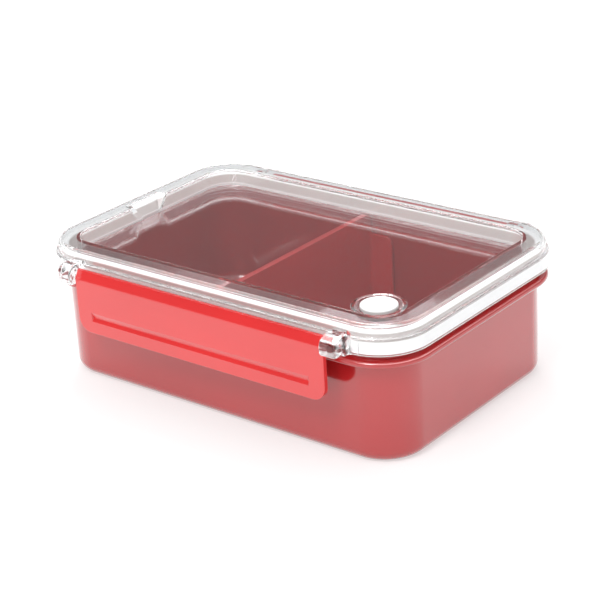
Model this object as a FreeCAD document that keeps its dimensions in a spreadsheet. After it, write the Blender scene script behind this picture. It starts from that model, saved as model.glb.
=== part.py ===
import FreeCAD, Part
import math
import os
import Sketcher

# Lunch box with a clear locking lid.
# X runs along the box, -Y is the near long side with a latch, Z is up and the box stands on Z = 0.

# Driving sizes in millimetres: name, value, what it measures
SIZES = [
    ("ring_length", 200.0, "lid ring, outside, along X"),
    ("ring_width", 130.5, "lid ring, outside, along Y"),
    ("ring_corner", 22.0, "lid ring, outside corner radius"),
    ("ring_band", 10.4, "lid ring, width of its flat top"),
    ("ring_height", 5.3, "lid ring, height above the skirt"),
    ("ring_bevel", 1.5, "lid ring, bevel along its outer top edge"),
    ("ring_inner_bevel", 1.0, "lid ring, bevel along its inner top edge"),
    ("recess_depth", 8.0, "panel top below the ring top"),
    ("recess_bevel", 1.2, "bevel between panel and ring"),
    ("panel_thick", 1.8, "lid panel thickness"),
    ("lid_wall", 1.8, "lid wall thickness"),
    ("skirt_step", 1.4, "skirt stands this far outside the ring"),
    ("skirt_height", 7.9, "skirt height"),
    ("skirt_bevel", 0.8, "bevel along the skirt's top edge"),
    ("skirt_gap", 3.0, "air between flange and skirt"),
    ("wall_inset", 3.3, "box wall inside the ring's outline"),
    ("wall_corner", 20.0, "box wall, outside corner radius"),
    ("wall_thick", 2.0, "box wall thickness"),
    ("floor_thick", 2.0, "box floor thickness"),
    ("floor_round", 5.0, "box bottom edge radius, outside and inside"),
    ("flange_top", 48.2, "flange top above the table"),
    ("flange_thick", 2.8, "flange thickness"),
    ("flange_reach", 4.8, "flange stands this far out of the wall"),
    ("flange_top_bevel", 0.6, "bevel along the flange's top edge"),
    ("flange_low_bevel", 0.9, "bevel along the flange's lower edge"),
    ("rim_rise", 8.8, "rim above the flange top"),
    ("rim_bevel", 0.6, "bevel along the rim's edges"),
    ("gasket_air", 0.2, "air between gasket and lid"),
    ("seal_air", 0.3, "air between gasket and box rim"),
    ("gasket_top_drop", 2.0, "gasket top below the channel's roof"),
    ("gasket_slope", 3.8, "sloped inner shoulder of the gasket"),
    ("gasket_leg", 2.4, "inner leg of the gasket below the rim top"),
    ("latch_length", 139.2, "latch between the posts, along X"),
    ("latch_low", 29.5, "latch lower edge above the table"),
    ("latch_thick", 2.2, "latch plate thickness"),
    ("latch_corner", 6.5, "latch lower corner radius"),
    ("latch_ease", 0.4, "bevel along the plate's face edges"),
    ("latch_air", 0.95, "air between barrel and skirt"),
    ("latch_bevel_run", 2.3, "bevel along the latch's top, across"),
    ("latch_bevel_fall", 4.1, "bevel along the latch's top, down"),
    ("barrel_radius", 2.1, "hinge barrel radius"),
    ("hinge_rise", 5.0, "hinge axis above the skirt's lower edge"),
    ("face_out", 3.5, "latch face outside the hinge axis"),
    ("pin_radius", 1.2, "hinge pin radius"),
    ("pin_length", 3.5, "hinge pin beyond the latch's end"),
    ("pin_air", 0.05, "running clearance round the pin"),
    ("pin_end_air", 0.5, "air at the end of the pin"),
    ("post_air", 0.3, "air between latch and post"),
    ("post_length", 8.7, "hinge post, along X"),
    ("post_out", 3.2, "hinge post stands this far outside the latch's face"),
    ("post_rise", 4.4, "hinge post above the hinge axis"),
    ("post_crown", 5.0, "hinge post upper front edge radius"),
    ("post_foot_round", 1.5, "hinge post lower front edge radius"),
    ("post_flare", 4.0, "hollow blend from post to skirt"),
    ("hook_length", 124.0, "hook along X"),
    ("hook_air", 0.4, "air between hook and flange"),
    ("hook_bite", 2.4, "hook reaches this far under the flange"),
    ("hook_tip", 1.4, "hook height at its tip"),
    ("hook_root", 5.0, "hook height at the plate"),
    ("groove_length", 123.0, "grip groove along X"),
    ("groove_rise", 5.7, "grip groove above the latch's lower edge"),
    ("groove_height", 4.7, "grip groove height"),
    ("groove_keel", 1.8, "deepest line above the groove's lower edge"),
    ("groove_depth", 1.0, "grip groove depth"),
    ("valve_inset", 17.2, "valve centre from the recess walls"),
    ("cup_top_radius", 12.0, "valve cup, outside at the top"),
    ("cup_base_radius", 9.6, "valve cup, outside at the panel"),
    ("cup_height", 5.0, "valve cup above the panel"),
    ("cup_wall", 1.7, "valve cup wall"),
    ("button_radius", 8.1, "valve button radius"),
    ("button_thick", 2.2, "valve button thickness"),
    ("button_drop", 0.2, "valve button below the cup's rim"),
    ("button_bevel", 0.7, "bevel along the valve button's edges"),
    ("seat_radius", 6.4, "valve body on the panel, radius"),
    ("seat_air", 0.3, "air between valve body and panel"),
    ("stem_radius", 2.9, "valve stem radius"),
    ("stem_air", 0.3, "air round the stem"),
    ("bulb_radius", 3.9, "retaining bulb radius"),
    ("bulb_length", 2.6, "retaining bulb length"),
    ("bulb_tip", 1.8, "retaining bulb radius at its tip"),
    ("bulb_drop", 2.4, "retaining bulb below the panel"),
    ("scoop_low", 11.0, "finger scoop width at the panel"),
    ("scoop_high", 25.0, "finger scoop width at the ring's inner edge"),
    ("scoop_back", 19.0, "finger scoop width at its back"),
    ("scoop_depth", 5.0, "finger scoop depth at the ring top"),
    ("scoop_wall", 1.6, "wall behind the finger scoop"),
    ("divider_at", -4.0, "divider's middle along X"),
    ("divider_thick", 3.0, "divider thickness"),
    ("divider_air", 0.35, "air between divider and box"),
    ("divider_drop", 1.1, "divider top below the lid panel"),
    ("divider_corner", 4.0, "divider upper corner radius"),
    ("wing_reach", 12.0, "divider wing beyond the plate"),
    ("wing_thick", 1.6, "divider wing thickness"),
    ("wing_drop", 10.0, "wing top below the divider top"),
    ("wing_corner", 4.0, "wing upper corner radius"),
    ("wing_blend", 1.5, "blend between wing and plate"),
]

# Heights and outlines that follow from the driving sizes
FLANGE_LOW = "(Sizes.flange_top - Sizes.flange_thick)"
RIM_TOP = "(Sizes.flange_top + Sizes.rim_rise)"
SKIRT_LOW = "(Sizes.flange_top + Sizes.skirt_gap)"
LEDGE = f"({SKIRT_LOW} + Sizes.skirt_height)"
LID_TOP = f"({LEDGE} + Sizes.ring_height)"
PANEL_TOP = f"({LID_TOP} - Sizes.recess_depth)"
PANEL_LOW = f"({PANEL_TOP} - Sizes.panel_thick)"
STEP_LOW = f"({LEDGE} - Sizes.lid_wall)"
CHANNEL_TOP = f"({LID_TOP} - Sizes.lid_wall)"
GASKET_TOP = f"({CHANNEL_TOP} - Sizes.gasket_top_drop)"
SLOT_TOP = f"({RIM_TOP} + Sizes.seal_air)"
LEG_LOW = f"({RIM_TOP} - Sizes.gasket_leg)"
HINGE_Z = f"({SKIRT_LOW} + Sizes.hinge_rise)"
SKIRT_Y = "(Sizes.ring_width / 2 + Sizes.skirt_step)"
HINGE_Y = f"({SKIRT_Y} + Sizes.latch_air + Sizes.barrel_radius)"
FACE_Y = f"({HINGE_Y} + Sizes.face_out)"
PLATE_Y = f"({FACE_Y} - Sizes.latch_thick)"
FLANGE_Y = "(Sizes.ring_width / 2 - Sizes.wall_inset + Sizes.flange_reach)"
RECESS_X = "(Sizes.ring_length / 2 - Sizes.ring_band)"
RECESS_Y = "(Sizes.ring_width / 2 - Sizes.ring_band)"
VALVE_X = f"({RECESS_X} - Sizes.valve_inset)"
VALVE_Y = f"({RECESS_Y} - Sizes.valve_inset)"
CUP_TOP = f"({PANEL_TOP} + Sizes.cup_height)"
INNER_Y = "(Sizes.ring_width / 2 - Sizes.wall_inset - Sizes.wall_thick)"
FLOOR_TOP = "Sizes.floor_thick"
DIVIDER_TOP = f"({PANEL_LOW} - Sizes.divider_drop)"
DIVIDER_Y = f"({INNER_Y} - Sizes.divider_air)"

# How far cutting sketches reach past the faces that they cut
PAST = 2.0
# Two heights or lengths are the same when they differ by less than this
NEAR = 0.01

doc = FreeCAD.newDocument("lunch_box")
sheet = doc.addObject("Spreadsheet::Sheet", "Sizes")
for row, (alias, size, note) in enumerate(SIZES, start=1):
    sheet.set(f"A{row}", note)
    sheet.set(f"B{row}", str(size))
    sheet.setAlias(f"B{row}", alias)
doc.recompute()


def value(expression):
    """Number that a size expression gives now."""
    return float(sheet.evalExpression(str(expression)))


def new_body(label):
    body = doc.addObject("PartDesign::Body", label)
    body.Label = label
    return body


def new_sketch(body, name, role, lift="0", along="0"):
    """Sketch on one of the body's own planes, lifted off it and moved along its first axis."""
    sketch = body.newObject("Sketcher::SketchObject", name)
    plane = next(f for f in body.Origin.OriginFeatures if f.Role == role)
    sketch.AttachmentSupport = [(plane, "")]
    sketch.MapMode = "FlatFace"
    sketch.setExpression("AttachmentOffset.Base.x", str(along))
    sketch.setExpression("AttachmentOffset.Base.z", str(lift))
    return sketch


def bind(sketch, constraint, name, expression):
    index = sketch.addConstraint(constraint)
    sketch.renameConstraint(index, name)
    sketch.setExpression(f"Constraints.{name}", str(expression))


def rounded_rect(sketch, length, width, corner):
    """Rectangle round the sketch's origin with equal round corners."""
    x = value(length) / 2
    y = value(width) / 2
    r = value(corner)
    first = sketch.GeometryCount
    turns = [((1, -1), 270), ((1, 1), 0), ((-1, 1), 90), ((-1, -1), 180)]
    starts = [(r - x, -y), (x, r - y), (x - r, y), (-x, y - r)]
    ends = [(x - r, -y), (x, y - r), (r - x, y), (-x, r - y)]
    for (side_x, side_y), start_angle in turns:
        corner_index = (start_angle // 90 + 1) % 4
        start = FreeCAD.Vector(*starts[corner_index], 0)
        end = FreeCAD.Vector(*ends[corner_index], 0)
        sketch.addGeometry(Part.LineSegment(start, end))
        middle = FreeCAD.Vector(side_x * (x - r), side_y * (y - r), 0)
        round_corner = Part.Circle(middle, FreeCAD.Vector(0, 0, 1), r)
        turn_from = math.radians(start_angle)
        sketch.addGeometry(Part.ArcOfCircle(round_corner, turn_from, turn_from + math.pi / 2))
    for i in range(8):
        sketch.addConstraint(Sketcher.Constraint("Tangent", first + i, 2, first + (i + 1) % 8, 1))
    for line, kind in ((0, "Horizontal"), (2, "Vertical"), (4, "Horizontal"), (6, "Vertical")):
        sketch.addConstraint(Sketcher.Constraint(kind, first + line))
    for arc in (3, 5, 7):
        sketch.addConstraint(Sketcher.Constraint("Equal", first + 1, first + arc))
    sketch.addConstraint(Sketcher.Constraint("Symmetric", first + 1, 3, first + 5, 3, -1, 1))
    bind(sketch, Sketcher.Constraint("Radius", first + 1, r), f"corner{first}", corner)
    across = Sketcher.Constraint("DistanceX", first + 6, 1, first + 2, 1, 2 * x)
    bind(sketch, across, f"length{first}", length)
    up = Sketcher.Constraint("DistanceY", first, 1, first + 4, 1, 2 * y)
    bind(sketch, up, f"width{first}", width)


def ring_rect(sketch, offset):
    """Rounded rectangle that runs the given distance outside the lid ring's outline."""
    length = f"Sizes.ring_length + 2 * ({offset})"
    width = f"Sizes.ring_width + 2 * ({offset})"
    rounded_rect(sketch, length, width, f"Sizes.ring_corner + ({offset})")


def wall_rect(sketch, offset):
    """Rounded rectangle that runs the given distance outside the box wall's outline."""
    length = f"Sizes.ring_length - 2 * Sizes.wall_inset + 2 * ({offset})"
    width = f"Sizes.ring_width - 2 * Sizes.wall_inset + 2 * ({offset})"
    rounded_rect(sketch, length, width, f"Sizes.wall_corner + ({offset})")


def polygon(sketch, corners):
    """Closed outline whose corners are pairs of size expressions."""
    first = sketch.GeometryCount
    points = [FreeCAD.Vector(value(a), value(b), 0) for a, b in corners]
    count = len(points)
    for i in range(count):
        sketch.addGeometry(Part.LineSegment(points[i], points[(i + 1) % count]))
    for i in range(count):
        sketch.addConstraint(Sketcher.Constraint("Coincident", first + i, 2, first + (i + 1) % count, 1))
    for i, (a, b) in enumerate(corners):
        across = Sketcher.Constraint("DistanceX", -1, 1, first + i, 1, points[i].x)
        bind(sketch, across, f"a{first + i}", a)
        up = Sketcher.Constraint("DistanceY", -1, 1, first + i, 1, points[i].y)
        bind(sketch, up, f"b{first + i}", b)


def circle(sketch, a, b, radius):
    middle = FreeCAD.Vector(value(a), value(b), 0)
    index = sketch.addGeometry(Part.Circle(middle, FreeCAD.Vector(0, 0, 1), value(radius)))
    bind(sketch, Sketcher.Constraint("Radius", index, value(radius)), f"radius{index}", radius)
    bind(sketch, Sketcher.Constraint("DistanceX", -1, 1, index, 3, middle.x), f"a{index}", a)
    bind(sketch, Sketcher.Constraint("DistanceY", -1, 1, index, 3, middle.y), f"b{index}", b)


def rectangle(sketch, a_from, a_to, b_from, b_to):
    polygon(sketch, [(a_from, b_from), (a_to, b_from), (a_to, b_to), (a_from, b_to)])


def runs(edge, axis):
    """Edge is straight and runs along this axis."""
    box = edge.BoundBox
    spans = {"x": box.XLength, "y": box.YLength, "z": box.ZLength}
    return all(span < NEAR for name, span in spans.items() if name != axis)


def lies(edge, x, y, z):
    """Middle of the edge is at these distances from the middle planes and this height, where given."""
    middle = edge.CenterOfMass
    places = ((x, abs(middle.x)), (y, abs(middle.y)), (z, middle.z))
    return all(want is None or abs(found - want) < NEAR for want, found in places)


def volume(body):
    doc.recompute()
    return body.Shape.Volume


def pad(body, sketch, length, both_ways=False):
    before = volume(body) if body.Tip else 0
    feature = body.newObject("PartDesign::Pad", sketch.Name + "_pad")
    feature.Profile = sketch
    feature.setExpression("Length", str(length))
    feature.Midplane = both_ways
    if volume(body) <= before:
        raise RuntimeError(f"{feature.Name} added nothing")
    return feature


def pocket(body, sketch, length, both_ways=False, forwards=False):
    """Cut against the sketch's normal, or along it when forwards."""
    before = volume(body)
    feature = body.newObject("PartDesign::Pocket", sketch.Name + "_cut")
    feature.Profile = sketch
    feature.setExpression("Length", str(length))
    feature.Midplane = both_ways
    feature.Reversed = forwards
    if volume(body) >= before:
        raise RuntimeError(f"{feature.Name} cut nothing")
    return feature


def edges_where(body, test):
    """Names of the edges of the body so far that pass the test."""
    doc.recompute()
    return [f"Edge{i}" for i, edge in enumerate(body.Tip.Shape.Edges, start=1) if test(edge)]


def level(edge, height):
    """Edge lies flat at this height."""
    box = edge.BoundBox
    return abs(box.ZMin - height) < NEAR and abs(box.ZMax - height) < NEAR


def outside(edge, x, y):
    """Edge lies wholly outside the rectangle of these half sizes."""
    middle = edge.valueAt((edge.FirstParameter + edge.LastParameter) / 2)
    return abs(middle.x) > x or abs(middle.y) > y


def round_edges(body, name, radius, test):
    names = edges_where(body, test)
    base = body.Tip
    feature = body.newObject("PartDesign::Fillet", name)
    feature.Base = (base, names)
    feature.setExpression("Radius", str(radius))
    doc.recompute()


def bevel_edges(body, name, size, test):
    names = edges_where(body, test)
    base = body.Tip
    feature = body.newObject("PartDesign::Chamfer", name)
    feature.Base = (base, names)
    feature.setExpression("Size", str(size))
    doc.recompute()


def make_box():
    body = new_body("box_body")
    outline = new_sketch(body, "wall_outline", "XY_Plane")
    wall_rect(outline, "0")
    pad(body, outline, RIM_TOP)
    round_edges(body, "bottom_round", "Sizes.floor_round", lambda e: level(e, 0))
    lip = new_sketch(body, "flange_outline", "XY_Plane", FLANGE_LOW)
    wall_rect(lip, "Sizes.flange_reach")
    pad(body, lip, "Sizes.flange_thick")
    half_x = value("Sizes.ring_length / 2 - Sizes.wall_inset") + NEAR
    half_y = value("Sizes.ring_width / 2 - Sizes.wall_inset") + NEAR
    top = value("Sizes.flange_top")
    low = value(FLANGE_LOW)
    corner = value("Sizes.wall_corner + Sizes.flange_reach")

    def on_lip(edge):
        """Edge runs along the flange's outer outline."""
        box = edge.BoundBox
        straight = outside(edge, half_x, half_y)
        return straight or (edge.Curve.TypeId == "Part::GeomCircle" and abs(edge.Curve.Radius - corner) < NEAR
                            and box.ZLength < NEAR)

    bevel_edges(body, "flange_top_bevel", "Sizes.flange_top_bevel", lambda e: level(e, top) and on_lip(e))
    bevel_edges(body, "flange_low_bevel", "Sizes.flange_low_bevel", lambda e: level(e, low) and on_lip(e))
    inside = new_sketch(body, "inside_outline", "XY_Plane", RIM_TOP)
    wall_rect(inside, "-Sizes.wall_thick")
    pocket(body, inside, f"{RIM_TOP} - Sizes.floor_thick")
    floor = value("Sizes.floor_thick")
    round_edges(body, "floor_round", "Sizes.floor_round", lambda e: level(e, floor))
    rim = value(RIM_TOP)
    bevel_edges(body, "rim_bevel", "Sizes.rim_bevel", lambda e: level(e, rim))
    return body


def make_lid():
    body = new_body("lid")
    skirt = new_sketch(body, "skirt_outline", "XY_Plane", SKIRT_LOW)
    ring_rect(skirt, "Sizes.skirt_step")
    pad(body, skirt, "Sizes.skirt_height")
    ledge = value(LEDGE)
    bevel_edges(body, "skirt_bevel", "Sizes.skirt_bevel", lambda e: level(e, ledge))
    ring = new_sketch(body, "ring_outline", "XY_Plane", LEDGE)
    ring_rect(ring, "0")
    pad(body, ring, "Sizes.ring_height")
    top = value(LID_TOP)
    bevel_edges(body, "ring_bevel", "Sizes.ring_bevel", lambda e: level(e, top))
    recess = new_sketch(body, "recess_outline", "XY_Plane", LID_TOP)
    ring_rect(recess, "-Sizes.ring_band")
    pocket(body, recess, "Sizes.recess_depth")
    panel = value(PANEL_TOP)
    bevel_edges(body, "recess_bevel", "Sizes.recess_bevel", lambda e: level(e, panel))
    half_x = value(RECESS_X) + NEAR
    half_y = value(RECESS_Y) + NEAR
    bevel_edges(body, "ring_inner_bevel", "Sizes.ring_inner_bevel",
                lambda e: level(e, top) and not outside(e, half_x, half_y))
    # Below the panel the lid is open, and above that the channel runs up into the ring
    mouth = new_sketch(body, "mouth_outline", "XY_Plane", SKIRT_LOW)
    ring_rect(mouth, "Sizes.skirt_step - Sizes.lid_wall")
    pocket(body, mouth, f"{PANEL_LOW} - {SKIRT_LOW}", forwards=True)
    wide = new_sketch(body, "wide_channel", "XY_Plane", PANEL_LOW)
    ring_rect(wide, "Sizes.skirt_step - Sizes.lid_wall")
    ring_rect(wide, "Sizes.lid_wall - Sizes.ring_band")
    pocket(body, wide, f"{STEP_LOW} - {PANEL_LOW}", forwards=True)
    narrow = new_sketch(body, "narrow_channel", "XY_Plane", STEP_LOW)
    ring_rect(narrow, "-Sizes.lid_wall")
    ring_rect(narrow, "Sizes.lid_wall - Sizes.ring_band")
    pocket(body, narrow, f"{CHANNEL_TOP} - {STEP_LOW}", forwards=True)
    add_scoop(body)
    add_cup(body)
    add_posts(body)
    return body


def scoop_section(body, name, at, low, low_width, high, high_width):
    """Cross-section of the finger scoop at one distance out from the box's middle."""
    sketch = new_sketch(body, name, "YZ_Plane", f"-({at})")
    polygon(sketch, [
        (f"-({low_width}) / 2", low),
        (f"({low_width}) / 2", low),
        (f"({high_width}) / 2", high),
        (f"-({high_width}) / 2", high),
    ])
    return sketch


def loft(body, kind, name, near, far):
    before = volume(body)
    feature = body.newObject(kind, name)
    feature.Profile = near
    feature.Sections = [far]
    feature.Ruled = True
    if abs(volume(body) - before) < NEAR:
        raise RuntimeError(f"{name} changed nothing")


def add_scoop(body):
    """Sloped finger scoop in the inner wall of the ring, at the middle of one short side."""
    wall = "2 * Sizes.scoop_wall"
    inset = "Sizes.lid_wall / 8"
    back = f"{RECESS_X} + Sizes.scoop_depth + Sizes.scoop_wall"
    near = scoop_section(body, "scoop_wall_near", f"{RECESS_X} + {inset}", f"{PANEL_LOW} + {inset}",
                         f"Sizes.scoop_low + {wall}", f"{LID_TOP} - {inset}", f"Sizes.scoop_high + {wall}")
    far = scoop_section(body, "scoop_wall_far", back, f"{CHANNEL_TOP} - {inset}",
                        f"Sizes.scoop_back + {wall}", f"{LID_TOP} - {inset}", f"Sizes.scoop_back + {wall}")
    loft(body, "PartDesign::AdditiveLoft", "scoop_wall", near, far)
    near = scoop_section(body, "scoop_near", RECESS_X, PANEL_TOP, "Sizes.scoop_low",
                         f"{LID_TOP} + {PAST}", f"Sizes.scoop_high + {PAST}")
    far = scoop_section(body, "scoop_far", f"{RECESS_X} + Sizes.scoop_depth", f"{LID_TOP} - {inset}",
                        "Sizes.scoop_back", f"{LID_TOP} + {PAST}", "Sizes.scoop_back")
    loft(body, "PartDesign::SubtractiveLoft", "scoop", near, far)


def turned_sketch(body, name):
    """Sketch through the valve's axis: across is the radius, up is the height."""
    return new_sketch(body, name, "XZ_Plane", VALVE_Y, VALVE_X)


def turn(body, sketch):
    feature = body.newObject("PartDesign::Revolution", sketch.Name + "_turned")
    feature.Profile = sketch
    feature.ReferenceAxis = (sketch, ["V_Axis"])
    feature.Angle = 360
    doc.recompute()


def add_cup(body):
    """Flared cup round the valve, and the hole that its stem passes through."""
    sketch = turned_sketch(body, "cup_profile")
    root = f"{PANEL_TOP} - Sizes.panel_thick / 2"
    polygon(sketch, [
        ("Sizes.cup_base_radius - Sizes.cup_wall", root),
        ("Sizes.cup_base_radius", root),
        ("Sizes.cup_base_radius", PANEL_TOP),
        ("Sizes.cup_top_radius", CUP_TOP),
        ("Sizes.cup_top_radius - Sizes.cup_wall", CUP_TOP),
        ("Sizes.cup_base_radius - Sizes.cup_wall", PANEL_TOP),
    ])
    turn(body, sketch)
    hole = new_sketch(body, "stem_hole", "XY_Plane", PANEL_TOP)
    circle(hole, VALVE_X, f"-{VALVE_Y}", "Sizes.stem_radius + Sizes.stem_air")
    pocket(body, hole, "Sizes.panel_thick")


def add_posts(body):
    """Four hinge posts on the skirt, each with a blind bore for a latch pin."""
    inner = "(Sizes.latch_length / 2 + Sizes.post_air)"
    outer = f"({inner} + Sizes.post_length)"
    flared = f"({outer} + Sizes.post_flare)"
    front = f"({FACE_Y} + Sizes.post_out)"
    head = f"({HINGE_Z} + Sizes.post_rise)"
    # Halfway between the ring's outer face and the skirt's inner one
    root = "(Sizes.ring_width / 2 + (Sizes.skirt_step - Sizes.lid_wall) / 2)"
    web = f"({SKIRT_Y} + Sizes.post_flare)"
    plan = new_sketch(body, "post_plan", "XY_Plane", SKIRT_LOW)
    flare = new_sketch(body, "flare_plan", "XY_Plane", SKIRT_LOW)
    hollow = new_sketch(body, "flare_hollow", "XY_Plane", LEDGE)
    for x in ("", "-"):
        for y in ("", "-"):
            rectangle(plan, x + inner, x + outer, y + root, y + front)
            rectangle(flare, x + outer, x + flared, y + root, y + web)
            circle(hollow, x + flared, y + web, "Sizes.post_flare")
    pad(body, plan, f"{head} - {SKIRT_LOW}")
    # Each post is domed towards the front, and its lower front edge is eased
    face = value(front)
    crown = value(head)
    low = value(SKIRT_LOW)
    round_edges(body, "post_crown", "Sizes.post_crown",
                lambda e: runs(e, "x") and lies(e, None, face, crown))
    round_edges(body, "post_foot", "Sizes.post_foot_round",
                lambda e: runs(e, "x") and lies(e, None, face, low))
    # A web beside each post is hollowed to a quarter round that blends it into the skirt
    pad(body, flare, f"{LEDGE} - Sizes.skirt_bevel - {SKIRT_LOW}")
    pocket(body, hollow, f"{LEDGE} - {SKIRT_LOW}")
    for name, side, along in (("right_bores", "", True), ("left_bores", "-", False)):
        bores = new_sketch(body, name, "YZ_Plane", side + inner)
        for y in ("", "-"):
            circle(bores, y + HINGE_Y, HINGE_Z, "Sizes.pin_radius + Sizes.pin_air")
        pocket(body, bores, "Sizes.pin_length - Sizes.post_air + Sizes.pin_end_air", forwards=along)


def make_gasket():
    """Seal that lies in the lid's channel and straddles the rim of the box."""
    body = new_body("gasket")
    crown = new_sketch(body, "crown_outline", "XY_Plane", LEG_LOW)
    ring_rect(crown, "-Sizes.lid_wall - Sizes.gasket_air")
    ring_rect(crown, "Sizes.lid_wall + Sizes.gasket_air - Sizes.ring_band")
    pad(body, crown, f"{GASKET_TOP} - {LEG_LOW}")
    top = value(GASKET_TOP)
    half_x = value(f"{RECESS_X} + Sizes.lid_wall + Sizes.gasket_air") + NEAR
    half_y = value(f"{RECESS_Y} + Sizes.lid_wall + Sizes.gasket_air") + NEAR
    bevel_edges(body, "inner_shoulder", "Sizes.gasket_slope",
                lambda e: level(e, top) and not outside(e, half_x, half_y))
    skirt = new_sketch(body, "outer_leg", "XY_Plane", f"{SKIRT_LOW} + Sizes.gasket_air")
    ring_rect(skirt, "Sizes.skirt_step - Sizes.lid_wall - Sizes.gasket_air")
    wall_rect(skirt, "Sizes.seal_air")
    pad(body, skirt, f"{STEP_LOW} - {SKIRT_LOW} - 2 * Sizes.gasket_air")
    slot = new_sketch(body, "rim_slot", "XY_Plane", SKIRT_LOW)
    wall_rect(slot, "Sizes.seal_air")
    wall_rect(slot, "-Sizes.wall_thick - Sizes.seal_air")
    pocket(body, slot, f"{SLOT_TOP} - {SKIRT_LOW}", forwards=True)
    return body


def make_latch(label, side):
    """Latch on one long side: side is "-" for the near one and empty for the far one."""
    body = new_body(label)
    top = f"({HINGE_Z} + Sizes.barrel_radius)"
    crease = f"({top} - Sizes.latch_bevel_fall)"
    plate = new_sketch(body, label + "_plate", "YZ_Plane")
    polygon(plate, [
        (side + PLATE_Y, "Sizes.latch_low"),
        (side + FACE_Y, "Sizes.latch_low"),
        (side + FACE_Y, crease),
        (f"{side}({FACE_Y} - Sizes.latch_bevel_run)", top),
        (side + HINGE_Y, top),
        (side + HINGE_Y, HINGE_Z),
        (side + PLATE_Y, f"{HINGE_Z} - Sizes.barrel_radius"),
    ])
    pad(body, plate, "Sizes.latch_length", both_ways=True)
    end = value("Sizes.latch_length / 2")
    low = value("Sizes.latch_low")
    round_edges(body, label + "_corners", "Sizes.latch_corner",
                lambda e: runs(e, "y") and lies(e, end, None, low))
    face = value(FACE_Y)
    fold = value(crease)
    bevel_edges(body, label + "_ease", "Sizes.latch_ease",
                lambda e: abs(abs(e.CenterOfMass.y) - face) < NEAR and not level(e, fold))
    barrel = new_sketch(body, label + "_barrel", "YZ_Plane")
    circle(barrel, side + HINGE_Y, HINGE_Z, "Sizes.barrel_radius")
    pad(body, barrel, "Sizes.latch_length", both_ways=True)
    pins = new_sketch(body, label + "_pins", "YZ_Plane")
    circle(pins, side + HINGE_Y, HINGE_Z, "Sizes.pin_radius")
    pad(body, pins, "Sizes.latch_length + 2 * Sizes.pin_length", both_ways=True)
    hook = new_sketch(body, label + "_hook", "YZ_Plane")
    hook_top = f"({FLANGE_LOW} - Sizes.hook_air)"
    root = f"({PLATE_Y} + Sizes.latch_thick / 2)"
    tip = f"({FLANGE_Y} - Sizes.hook_bite)"
    polygon(hook, [
        (side + root, hook_top),
        (side + tip, hook_top),
        (side + tip, f"{hook_top} - Sizes.hook_tip"),
        (side + root, f"{hook_top} - Sizes.hook_root"),
    ])
    pad(body, hook, "Sizes.hook_length", both_ways=True)
    groove = new_sketch(body, label + "_groove", "YZ_Plane")
    groove_low = "(Sizes.latch_low + Sizes.groove_rise)"
    groove_top = f"({groove_low} + Sizes.groove_height)"
    polygon(groove, [
        (f"{side}({FACE_Y} + {PAST})", groove_low),
        (f"{side}({FACE_Y} + {PAST})", groove_top),
        (side + FACE_Y, groove_top),
        (f"{side}({FACE_Y} - Sizes.groove_depth)", f"{groove_low} + Sizes.groove_keel"),
        (side + FACE_Y, groove_low),
    ])
    pocket(body, groove, "Sizes.groove_length", both_ways=True)
    return body


def make_valve():
    """Soft air valve: a button over the panel, a stem through it and a bulb that keeps it in."""
    body = new_body("valve_plug")
    sketch = turned_sketch(body, "plug_profile")
    bulb_top = f"({PANEL_LOW} - Sizes.bulb_drop)"
    bulb_low = f"({bulb_top} - Sizes.bulb_length)"
    seat = f"({PANEL_TOP} + Sizes.seat_air)"
    button_top = f"({CUP_TOP} - Sizes.button_drop)"
    button_low = f"({button_top} - Sizes.button_thick)"
    polygon(sketch, [
        ("0", bulb_low),
        ("Sizes.bulb_tip", bulb_low),
        ("Sizes.bulb_radius", f"{bulb_top} - Sizes.bulb_length / 3"),
        ("Sizes.bulb_radius", bulb_top),
        ("Sizes.stem_radius", bulb_top),
        ("Sizes.stem_radius", seat),
        ("Sizes.seat_radius", seat),
        ("Sizes.seat_radius", button_low),
        ("Sizes.button_radius", button_low),
        ("Sizes.button_radius", button_top),
        ("0", button_top),
    ])
    turn(body, sketch)
    rim = value("Sizes.button_radius")
    bevel_edges(body, "button_bevel", "Sizes.button_bevel",
                lambda e: e.Curve.TypeId == "Part::GeomCircle" and abs(e.Curve.Radius - rim) < NEAR)
    return body


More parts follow.
